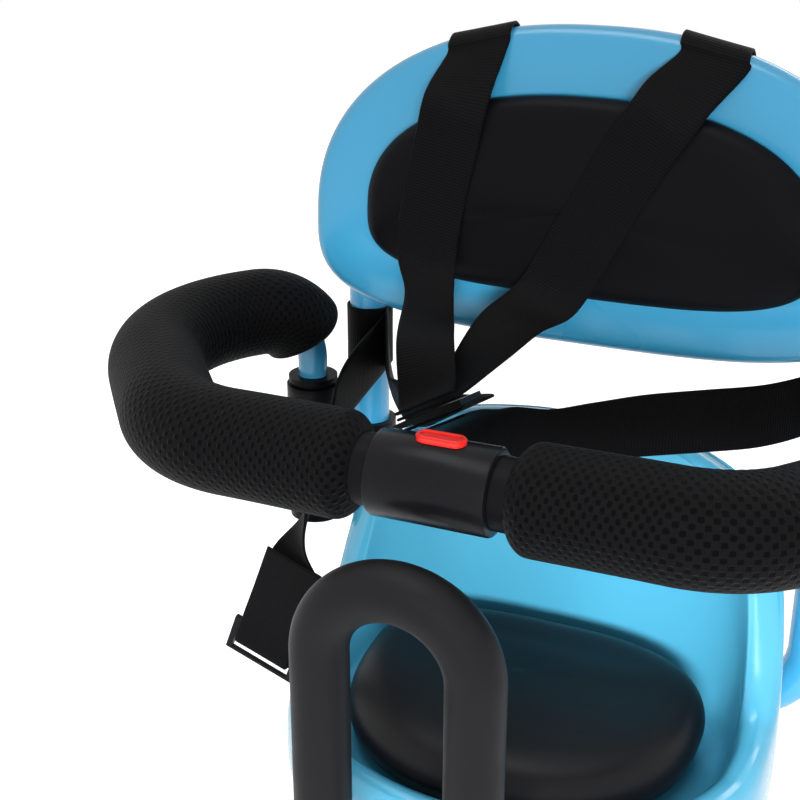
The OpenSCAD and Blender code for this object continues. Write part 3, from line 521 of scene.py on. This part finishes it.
def mesh_cloth():
    """Holes where cos(2*pi*u/pitch)*cos(holes*v/radius) is high, u along and v around in mm."""
    m = bpy.data.materials.new("spacer_mesh")
    m.use_nodes = True
    n, link = m.node_tree.nodes, m.node_tree.links.new
    shader = n["Principled BSDF"]
    uv = n.new("ShaderNodeUVMap")
    uv.uv_map = "along"
    cut = n.new("ShaderNodeSeparateXYZ")
    link(uv.outputs["UV"], cut.inputs["Vector"])
    math_node, wave = maths(m.node_tree)
    along, around = cut.outputs["X"], cut.outputs["Y"]
    holes = math_node("MULTIPLY", wave("COSINE", along, HOLE_PITCH),
                      wave("COSINE", around, 2 * math.pi * SLEEVE_R / HOLES_ROUND))
    edge = n.new("ShaderNodeMapRange")
    edge.interpolation_type = "SMOOTHSTEP"
    edge.inputs["From Min"].default_value = 0.05
    edge.inputs["From Max"].default_value = 0.62
    link(holes, edge.inputs["Value"])
    yarn = math_node("MULTIPLY", wave("COSINE", along, 0.9), wave("COSINE", around, 0.7))
    fuzz = n.new("ShaderNodeTexNoise")
    fuzz.inputs["Scale"].default_value = 1500.0
    place = n.new("ShaderNodeTexCoord")
    link(place.outputs["Object"], fuzz.inputs["Vector"])
    colour = n.new("ShaderNodeMix")
    # Painted shade: the holes are coloured darker than the knit round them, standing in for the shade
    # inside them.
    colour.data_type = "RGBA"
    colour.inputs["A"].default_value = (0.004, 0.004, 0.0045, 1)
    colour.inputs["B"].default_value = (0.001, 0.001, 0.001, 1)
    link(edge.outputs["Result"], colour.inputs["Factor"])
    link(colour.outputs["Result"], shader.inputs["Base Color"])
    low = math_node("SUBTRACT", math_node("ADD", math_node("MULTIPLY", yarn, 0.10),
                                          math_node("MULTIPLY", fuzz.outputs["Fac"], 0.25)),
                    edge.outputs["Result"])
    bump = n.new("ShaderNodeBump")
    bump.inputs["Strength"].default_value = 0.9
    bump.inputs["Distance"].default_value = 0.0007
    link(low, bump.inputs["Height"])
    link(bump.outputs["Normal"], shader.inputs["Normal"])
    shader.inputs["Roughness"].default_value = 0.6
    shader.inputs["Specular IOR Level"].default_value = 0.05
    shader.inputs["Sheen Weight"].default_value = 0.02
    shader.inputs["Sheen Roughness"].default_value = 0.35
    return m


spacer_mesh = mesh_cloth()
GUARD = np.array([0.0, -125.0, GUARD_Z])
STRAIGHT, CORNER_R, FLARE = 107.0, 61.0, math.radians(51)
RUN, SWEEP_R, SWEEP = 54.0, 86.0, math.radians(79)
REAR_R, REAR = 35.0, math.radians(62)


def guard_line(side, start, n):
    """One arm's points, tangents and sideways directions, n steps from start, as the running sum of
    the tangent: straight, a corner, straight, a sweep, and then the bend down into the post."""
    parts = [(STRAIGHT - start, 0.0), (CORNER_R * FLARE, FLARE), (RUN, 0.0), (SWEEP_R * SWEEP, SWEEP)]
    flat_length = sum(length for length, _ in parts)

    def direction(s):
        """Tangent (cos h cos d, sin h cos d, -sin d) for heading h and droop d, both linear in s."""
        heading, bent, at = 0 * s, 0 * s, 0.0
        for length, turn in parts:
            share = np.clip((s - at) / length, 0, 1)
            heading = heading + turn * share
            bent = bent + (turn > 0) * np.sin(np.pi * share)
            at += length
        d = np.clip(s - flat_length, 0, None) / REAR_R
        flat = np.stack([np.cos(heading), np.sin(heading), 0 * s], 1)
        out = np.stack([np.sin(heading), -np.cos(heading), 0 * s], 1)
        return flat * np.cos(d)[:, None] - np.array([0, 0, 1]) * np.sin(d)[:, None], out, bent
    s = np.linspace(0, flat_length + REAR_R * REAR, n)
    along, out, bent = direction(s)
    steps = direction((s[1:] + s[:-1]) / 2)[0] * np.diff(s)[:, None]
    p = GUARD + np.concatenate([np.zeros((1, 3)), np.cumsum(steps, 0)]) + np.array([start, 0, 0])
    flip = np.array([side, 1, 1])
    return s, p * flip, along * flip, out * flip, bent


BORE_R = 9.6


def sleeve_mesh(name, side, node, body):
    """Rings of points p + r(s, theta)*(out*cos + up*sin) along the guard line, where r is drawn in at
    both ends and creases inside the bends; the bore closes the form like a tyre."""
    s, p, along, out, bent = guard_line(side, 36.9, 360)
    up = np.cross(out, along)
    n = 96
    theta = np.linspace(0, 2 * np.pi, n, endpoint=False)
    total = s[-1]
    r = (SLEEVE_R - 0.1 - 8.2 * np.clip(1 - s / 11.0, 0, 1) ** 2.4
         - 5.0 * np.clip(1 - (total - s) / 6.0, 0, 1) ** 2.2)
    inside = np.clip(-np.cos(theta), 0, 1) ** 2
    crease = 0.35 * bent[:, None] * inside * np.cos(2 * np.pi * s / 5.5)[:, None]
    slack = 0.35 * np.sin(3 * theta + 0.02 * s[:, None]) * np.sin(s[:, None] / 31.0)
    radius = r[:, None] + crease + slack
    spoke = out[:, None] * np.cos(theta)[None, :, None] + up[:, None] * np.sin(theta)[None, :, None]
    rings = p[:, None] + spoke * radius[..., None]
    first = [p[0] + spoke[0] * k for k in (BORE_R, 13.0, 16.0)]
    last = [p[-1] + spoke[-1] * k for k in (18.6, 14.0, BORE_R)]
    bore = [p[k] + spoke[k] * BORE_R for k in np.linspace(len(s) - 12, 12, 30).astype(int)]
    rings = np.concatenate([np.array(first), rings, np.array(last), np.array(bore)])
    v = np.concatenate([[0, 3, 6], 8 + s, total + np.array([12, 15, 18]), np.full(len(bore), total + 20)])
    uv = np.stack(np.broadcast_arrays(v[:, None], (theta * SLEEVE_R)[None]), -1).reshape(-1, 2)
    k = rings.shape[0]
    i = np.arange(n)
    j = (i + 1) % n
    base = np.arange(k)[:, None] * n
    above = (np.arange(1, k + 1) % k)[:, None] * n
    quads = np.stack([base + i, base + j, above + j, above + i], -1).reshape(-1, 4)
    if side < 0:
        quads = quads[:, ::-1]
    o = put(name, rings.reshape(-1, 3), quads[:, ::-1].tolist(), spacer_mesh)
    mesh = o.data
    loops = np.zeros(len(mesh.loops), np.int32)
    mesh.loops.foreach_get("vertex_index", loops)
    pair = uv[loops].reshape(-1, 4, 2)
    wrap = pair[..., 1].max(1) - pair[..., 1].min(1) > 60
    fix = pair[wrap]
    fix[..., 1] = np.where(fix[..., 1] < 40, fix[..., 1] + 2 * np.pi * SLEEVE_R, fix[..., 1])
    pair[wrap] = fix
    mesh.uv_layers.new(name="along").data.foreach_set("uv", pair.astype(np.float32).ravel())
    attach(o, body)
    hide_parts(node)
    return o


sleeve_mesh("sleeve_skin_right", 1, "sleeve_right", RIGHT_ARM)
sleeve_mesh("sleeve_skin_left", -1, "sleeve_left", LEFT_ARM)

# Clasp
# A turned barrel in satin black plastic on the child's right arm takes the other arm's plug;
# a red button in its top draws the latch back against a small spring.
satin_black = grained("satin_plastic", (0.004, 0.004, 0.005), (0.006, 0.006, 0.007), (0.24, 0.32),
                      grain=(1800.0, 0.00003), drift_scale=40.0, Specular_IOR_Level=0.12)
coat_node("clasp_body", satin_black, 25.0)
coat_node("collar_left", plug_plastic)
coat_node("collar_right", plug_plastic)
red_plastic = grained("red_plastic", (0.72, 0.020, 0.015), (0.66, 0.016, 0.012), (0.26, 0.34),
                      grain=(1500.0, 0.00003), drift_scale=80.0, Coat_Weight=0.25, Coat_Roughness=0.1,
                      Subsurface_Weight=0.05)
coat_node("release_button", red_plastic)
coat_node("latch_slider", zinc)
coat_node("button_spring", zinc, 60.0)

# Harness webbing
# Flat polyester webbing 38 mm wide: a ribbed weave with a firm selvedge, which shines a
# little along its ribs. Its colour is also painted lighter on the rib crests and darker in
# the grooves, as painted highlight and painted shade.


RIB_PITCH = 1.7
WARP_PITCH = 1.1


def webbing_cloth():
    """Height sin(2*pi*u/rib) + 0.7*sin(2*pi*v/warp), u along and v across the band in mm."""
    m = bpy.data.materials.new("webbing")
    m.use_nodes = True
    n, link = m.node_tree.nodes, m.node_tree.links.new
    shader = n["Principled BSDF"]
    uv = n.new("ShaderNodeUVMap")
    uv.uv_map = "along"
    cut = n.new("ShaderNodeSeparateXYZ")
    link(uv.outputs["UV"], cut.inputs["Vector"])
    math_node, wave = maths(m.node_tree)
    rib = math_node("ADD", wave("SINE", cut.outputs["X"], RIB_PITCH),
                    math_node("MULTIPLY", wave("SINE", cut.outputs["Y"], WARP_PITCH), 0.7))
    fuzz = n.new("ShaderNodeTexNoise")
    fuzz.inputs["Scale"].default_value = 1100.0
    place = n.new("ShaderNodeTexCoord")
    link(place.outputs["Object"], fuzz.inputs["Vector"])
    hairs = math_node("MULTIPLY", fuzz.outputs["Fac"], 0.4)
    height = math_node("ADD", math_node("MULTIPLY", rib, 0.3), hairs)
    bump = n.new("ShaderNodeBump")
    bump.inputs["Strength"].default_value = 0.8
    bump.inputs["Distance"].default_value = 0.00025
    link(height, bump.inputs["Height"])
    link(bump.outputs["Normal"], shader.inputs["Normal"])
    # Painted highlight and painted shade: the colour follows the rib height, lighter on the crests and
    # darker in the grooves.
    colour = n.new("ShaderNodeMix")
    colour.data_type = "RGBA"
    colour.inputs["A"].default_value = (0.002, 0.002, 0.0025, 1)
    colour.inputs["B"].default_value = (0.006, 0.006, 0.0065, 1)
    rib_light_and_shade = n.new("ShaderNodeMapRange")
    rib_light_and_shade.inputs["From Min"].default_value = -1.2
    rib_light_and_shade.inputs["From Max"].default_value = 1.4
    link(rib, rib_light_and_shade.inputs["Value"])
    link(rib_light_and_shade.outputs["Result"], colour.inputs["Factor"])
    link(colour.outputs["Result"], shader.inputs["Base Color"])
    shader.inputs["Roughness"].default_value = 0.55
    shader.inputs["Specular IOR Level"].default_value = 0.045
    shader.inputs["Sheen Weight"].default_value = 0.01
    shader.inputs["Sheen Roughness"].default_value = 0.4
    return m


webbing = webbing_cloth()
WEB_W, WEB_T = 38.0, 1.6


def unit(v):
    """Each vector divided by its length."""
    v = np.asarray(v, float)
    return v / np.linalg.norm(v, axis=-1, keepdims=True)


def ribbon(places, widths, closed=False):
    """Band of webbing: a flat oval cross-section carried along places, its long way along widths."""
    p = np.asarray(places, float) if closed else flow(places, 9)
    w = unit(np.asarray(widths, float) if closed else flow(widths, 9))
    if closed:
        along = unit(np.roll(p, -1, 0) - np.roll(p, 1, 0))
    else:
        along = unit(np.gradient(p, axis=0))
    face = unit(np.cross(along, w))
    x = np.array([-1, -0.97, -0.8, -0.4, 0, 0.4, 0.8, 0.97, 1, 0.97, 0.8, 0.4, 0, -0.4, -0.8, -0.97])
    y = np.array([0, 0.5, 0.5, 0.46, 0.46, 0.46, 0.5, 0.5, 0, -0.5, -0.5, -0.46, -0.46, -0.46, -0.5, -0.5])
    rings = (p[:, None] + w[:, None] * (x * WEB_W / 2)[None, :, None]
             + face[:, None] * (y * WEB_T)[None, :, None])
    reach = np.concatenate([[0], np.cumsum(np.linalg.norm(np.diff(p, axis=0), axis=1))])
    uv = np.stack(np.broadcast_arrays(reach[:, None], (x * WEB_W / 2)[None, :]), -1).reshape(-1, 2)
    k, n = rings.shape[:2]
    i = np.arange(n)
    j = (i + 1) % n
    last = k if closed else k - 1
    base = np.arange(last)[:, None] * n
    above = ((np.arange(last) + 1) % k)[:, None] * n
    faces = np.stack([base + i, above + i, above + j, base + j], -1).reshape(-1, 4).tolist()
    if not closed:
        faces += [i.tolist(), ((k - 1) * n + i)[::-1].tolist()]
    return rings.reshape(-1, 3), faces, uv


def strap(name, parts, node):
    """Joins bands into one strap that stands for its frame solid."""
    points, faces, uvs, start = [], [], [], 0
    for p, f, uv in parts:
        points.append(p)
        faces += [[v + start for v in face] for face in f]
        uvs.append(uv)
        start += len(p)
    o = put(name, np.concatenate(points), faces, webbing, np.concatenate(uvs))
    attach(o, SEAT)
    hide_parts(node)
    return o


SLIDER = np.array([-45.0, -20.0, 278.0])
SL_A = np.array([0.87, 0, 0.5])
SL_F = unit([-0.49, 0.168, 0.855])
SL_B = np.cross(SL_F, SL_A)
STRAP_Y = BACK_FRONT - 17 - 0.3 - WEB_T - 0.4
BEHIND_Y = -11.5 + WEB_T / 2 + 0.3


def over_edge(x):
    """Stations over the plate's rounded top edge at x, a half circle a hair outside the rim; the band's
    width follows the edge's slope there."""
    half, top, _, mid = PLATE
    f = abs(x) / half
    z = mid + top * (1 - f ** 2.25) ** (1 / 2.25) - RIM_R
    slope = -math.copysign(top / half * f ** 1.25 * (1 - f ** 2.25) ** (1 / 2.25 - 1), x)
    r = RIM_R + WEB_T / 2 + 0.8
    angles = np.radians([-10, 30, 60, 90, 120, 150, 180])
    return [(on_back([x, RIM_Y + r * math.cos(a), z + r * math.sin(a)]), (1, 0, slope)) for a in angles]


def split_stations(stations):
    """The places and the width directions of a list of stations."""
    return [s[0] for s in stations], [s[1] for s in stations]


down = (0.884, 0, -0.468)
right_shoulder = ([(on_back([64, BEHIND_Y, 72]), (1, 0, 0)), (on_back([64, BEHIND_Y, 108]), (1, 0, -0.05))]
                  + over_edge(64)
                  + [(on_back([50, STRAP_Y + 8, 138]), (0.9, 0, -0.4)),
                     (on_back([42, STRAP_Y + 1, 124]), down),
                     (on_back([30, STRAP_Y, 104]), down), (on_back([8, STRAP_Y, 62]), down),
                     (on_back([-12, STRAP_Y - 2, 24]), (0.92, -0.1, -0.36)),
                     (on_back([-27, STRAP_Y - 22, 11]), (0.95, -0.1, -0.1)),
                     (on_back([-36, STRAP_Y - 50, -6]), (0.92, 0, 0.3)),
                     (SLIDER + SL_F * 4.6 + SL_B * 12, SL_A), (SLIDER + SL_F * 3.4 - SL_B * 6, SL_A)])
down = (0.982, 0, -0.19)
left_shoulder = ([(on_back([-67, BEHIND_Y, 72]), (1, 0, 0)), (on_back([-67, BEHIND_Y, 108]), (1, 0, 0.05))]
                 + over_edge(-67)
                 + [(on_back([-72, STRAP_Y + 8, 136]), (1, 0, 0)), (on_back([-74, STRAP_Y + 1, 122]), down),
                    (on_back([-77, STRAP_Y, 104]), down), (on_back([-85, STRAP_Y, 62]), down),
                    (on_back([-86, STRAP_Y - 2, 32]), (0.97, -0.1, -0.19)),
                    (on_back([-77, STRAP_Y - 18, 15]), (0.93, -0.33, -0.1)),
                    (on_back([-66, STRAP_Y - 50, 4]), (0.94, -0.1, 0.28)),
                    (SLIDER + SL_F * 9.8 + SL_B * 12 - SL_A * 6, SL_A),
                    (SLIDER + SL_F * 6.8 - SL_B * 6, SL_A)])
strap("shoulder_webbing_right", [ribbon(*split_stations(right_shoulder))], "shoulder_strap_right")
strap("shoulder_webbing_left", [ribbon(*split_stations(left_shoulder))], "shoulder_strap_left")


LOOP_R = UPRIGHT_R + 0.3 + WEB_T / 2
LOOP_Z = 263.0


def upright_loop(side):
    """The waist strap's loop round an upright, a closed ring of webbing."""
    a = np.linspace(0, 2 * np.pi, 64, endpoint=False)
    p = np.stack([side * UPRIGHT_X + LOOP_R * np.cos(a), UPRIGHT_Y + LOOP_R * np.sin(a), a * 0 + LOOP_Z], 1)
    return ribbon(p, np.tile([0.0, 0, 1], (64, 1)), True)


up = (0, 0, 1)
LOOP_X = UPRIGHT_X - LOOP_R


def from_loop(side):
    """The first stations of a lap band, where it leaves its loop along the inner side."""
    return [((side * LOOP_X, 124, LOOP_Z), up), ((side * (LOOP_X - 1), 117, LOOP_Z), up),
            ((side * (LOOP_X - 6), 105, LOOP_Z - 1), up)]


right_waist = from_loop(1) + [((108, 84, 261), up), ((80, 67, 260), up), ((50, 52, 258), (0.05, 0, 1)),
                              ((22, 42, 253), (0.15, 0, 1)), ((-4, 35, 249), (0.35, 0, 0.93)),
                              ((-26, 27, 254), (0.65, 0, 0.75))]
right_waist += [(SLIDER - SL_F * f + SL_B * b, SL_A) for f, b in ((13, 36), (9, 17), (7, -4))]
strap("waist_webbing_right", [upright_loop(1), ribbon(*split_stations(right_waist))], "waist_strap_right")

HANG = np.array([-168.0, 5, 87])
HANG_LEAN = math.radians(20)
FLAT = (-math.cos(HANG_LEAN), 0, math.sin(HANG_LEAN))


def on_hang(x, y, z):
    """The place x across, y through and z up the hanging band, turned by its lean about HANG."""
    c, s = math.cos(HANG_LEAN), math.sin(HANG_LEAN)
    return HANG + np.array([x * c + z * s, y, z * c - x * s])


TURN_R = 4.1
left_lap = from_loop(-1) + [((-116, 86, 251), (-0.15, 0, 1)), ((-101, 64, 247), (-0.4, 0, 0.9)),
                            ((-86, 48, 252), (-0.75, 0, 0.65)), ((-69, 34, 266), (-0.97, 0, 0.1))]
left_lap += [(SLIDER - SL_F * f + SL_B * b, -SL_A) for f, b in ((4, 36), (3.6, 17), (3.3, -4))]
left_tail = [((-LOOP_X + 1.5, 123, LOOP_Z), up), ((-LOOP_X + 1, 108, 259), up), ((-135, 72, 249), up),
             ((-136, 45, 237), (0, 0.35, 1)), ((-136, 26, 217), (0, 0.9, 0.5)),
             ((-136, 14, 193), (-0.25, 0.95, 0.1)), ((-141, 10, 171), (-0.5, 0.85, 0.05)),
             (on_hang(0, TURN_R, 56), FLAT), (on_hang(0, TURN_R, 20), FLAT)]
left_tail += [(on_hang(0, TURN_R * math.cos(a), -TURN_R * math.sin(a)), FLAT)
              for a in np.radians([0, 45, 90, 135, 180])]
left_tail += [(on_hang(0, -TURN_R, 20), FLAT), (on_hang(1, -TURN_R - 2, 45), FLAT),
              (on_hang(2, -TURN_R - 5, 78), FLAT)]
strap("waist_webbing_left", [upright_loop(-1), ribbon(*split_stations(left_lap)),
                             ribbon(*split_stations(left_tail))], "waist_strap_left")

# Strap sliders
# Pressed plates with two slots and a bar between them, coated in satin black.
coat_node("centre_slider", satin_black)
coat_node("waist_slider", satin_black)

# Floor and light
# A plain pale floor that reads white, a long soft lamp overhead, a low fill that looks in
# under the guard, and a strip behind that draws the bright edges on the blue rims.


def seen_directly(tree):
    """One for camera, glossy and transmission rays, and nought for the rays that only light the seat."""
    path = tree.nodes.new("ShaderNodeLightPath")
    rays = path.outputs["Is Camera Ray"]
    for kind in ("Is Glossy Ray", "Is Transmission Ray"):
        top = tree.nodes.new("ShaderNodeMath")
        top.operation = "MAXIMUM"
        tree.links.new(rays, top.inputs[0])
        tree.links.new(path.outputs[kind], top.inputs[1])
        rays = top.outputs[0]
    return rays


world = bpy.data.worlds.new("studio")
world.use_nodes = True
bpy.context.scene.world = world
sky = world.node_tree.nodes["Background"]
sky.inputs["Color"].default_value = (1.0, 1.0, 1.0, 1)
sky.inputs["Strength"].default_value = 0.36
backdrop = world.node_tree.nodes.new("ShaderNodeBackground")
backdrop.inputs["Color"].default_value = (1.0, 1.0, 1.0, 1)
backdrop.inputs["Strength"].default_value = 1.0
either = world.node_tree.nodes.new("ShaderNodeMixShader")
world.node_tree.links.new(seen_directly(world.node_tree), either.inputs["Fac"])
world.node_tree.links.new(sky.outputs[0], either.inputs[1])
world.node_tree.links.new(backdrop.outputs[0], either.inputs[2])
world.node_tree.links.new(either.outputs[0], world.node_tree.nodes["World Output"].inputs["Surface"])

paper = bpy.data.materials.new("floor_paper")
paper.use_nodes = True
tree = paper.node_tree
body = tree.nodes["Principled BSDF"]
body.inputs["Base Color"].default_value = (0.9, 0.9, 0.9, 1)
body.inputs["Roughness"].default_value = 0.8
dim = tree.nodes.new("ShaderNodeBsdfDiffuse")
dim.inputs["Color"].default_value = (0.6, 0.6, 0.6, 1)
glow = tree.nodes.new("ShaderNodeEmission")
glow.inputs["Strength"].default_value = 0.85
pale = tree.nodes.new("ShaderNodeAddShader")
tree.links.new(dim.outputs[0], pale.inputs[0])
tree.links.new(glow.outputs[0], pale.inputs[1])
either = tree.nodes.new("ShaderNodeMixShader")
tree.links.new(seen_directly(tree), either.inputs["Fac"])
tree.links.new(body.outputs[0], either.inputs[1])
tree.links.new(pale.outputs[0], either.inputs[2])
tree.links.new(either.outputs[0], tree.nodes["Material Output"].inputs["Surface"])
floor = put("floor", [[-3000, -3000, 0], [3000, -3000, 0], [3000, 3000, 0], [-3000, 3000, 0]],
            [[0, 1, 2, 3]], paper)


def lamp(name, place, aim, size, power):
    """A soft rectangular lamp at place, turned to aim, both in metres."""
    data = bpy.data.lights.new(name, "AREA")
    data.shape = "RECTANGLE"
    data.size, data.size_y = size
    data.energy = power
    o = bpy.data.objects.new(name, data)
    o.location = place
    d = unit(np.array(place, float) - np.array(aim, float))
    o.rotation_euler = (math.acos(d[2]), 0, math.atan2(d[0], -d[1]))
    bpy.context.scene.collection.objects.link(o)
    return o


middle = (0.0, 0.0, 0.25)
lamp("overhead", (-0.15, -0.25, 1.6), middle, (1.2, 0.5), 6.5)
fill = lamp("fill", (0.45, -1.25, 0.42), (0.0, 0.0, 0.16), (0.7, 0.3), 2.4)
fill.data.spread = math.radians(42)
fill.visible_glossy = False
lamp("strip", (0.6, 1.1, 1.2), middle, (1.2, 0.25), 5.0)

bpy.context.scene.view_settings.view_transform = "Standard"
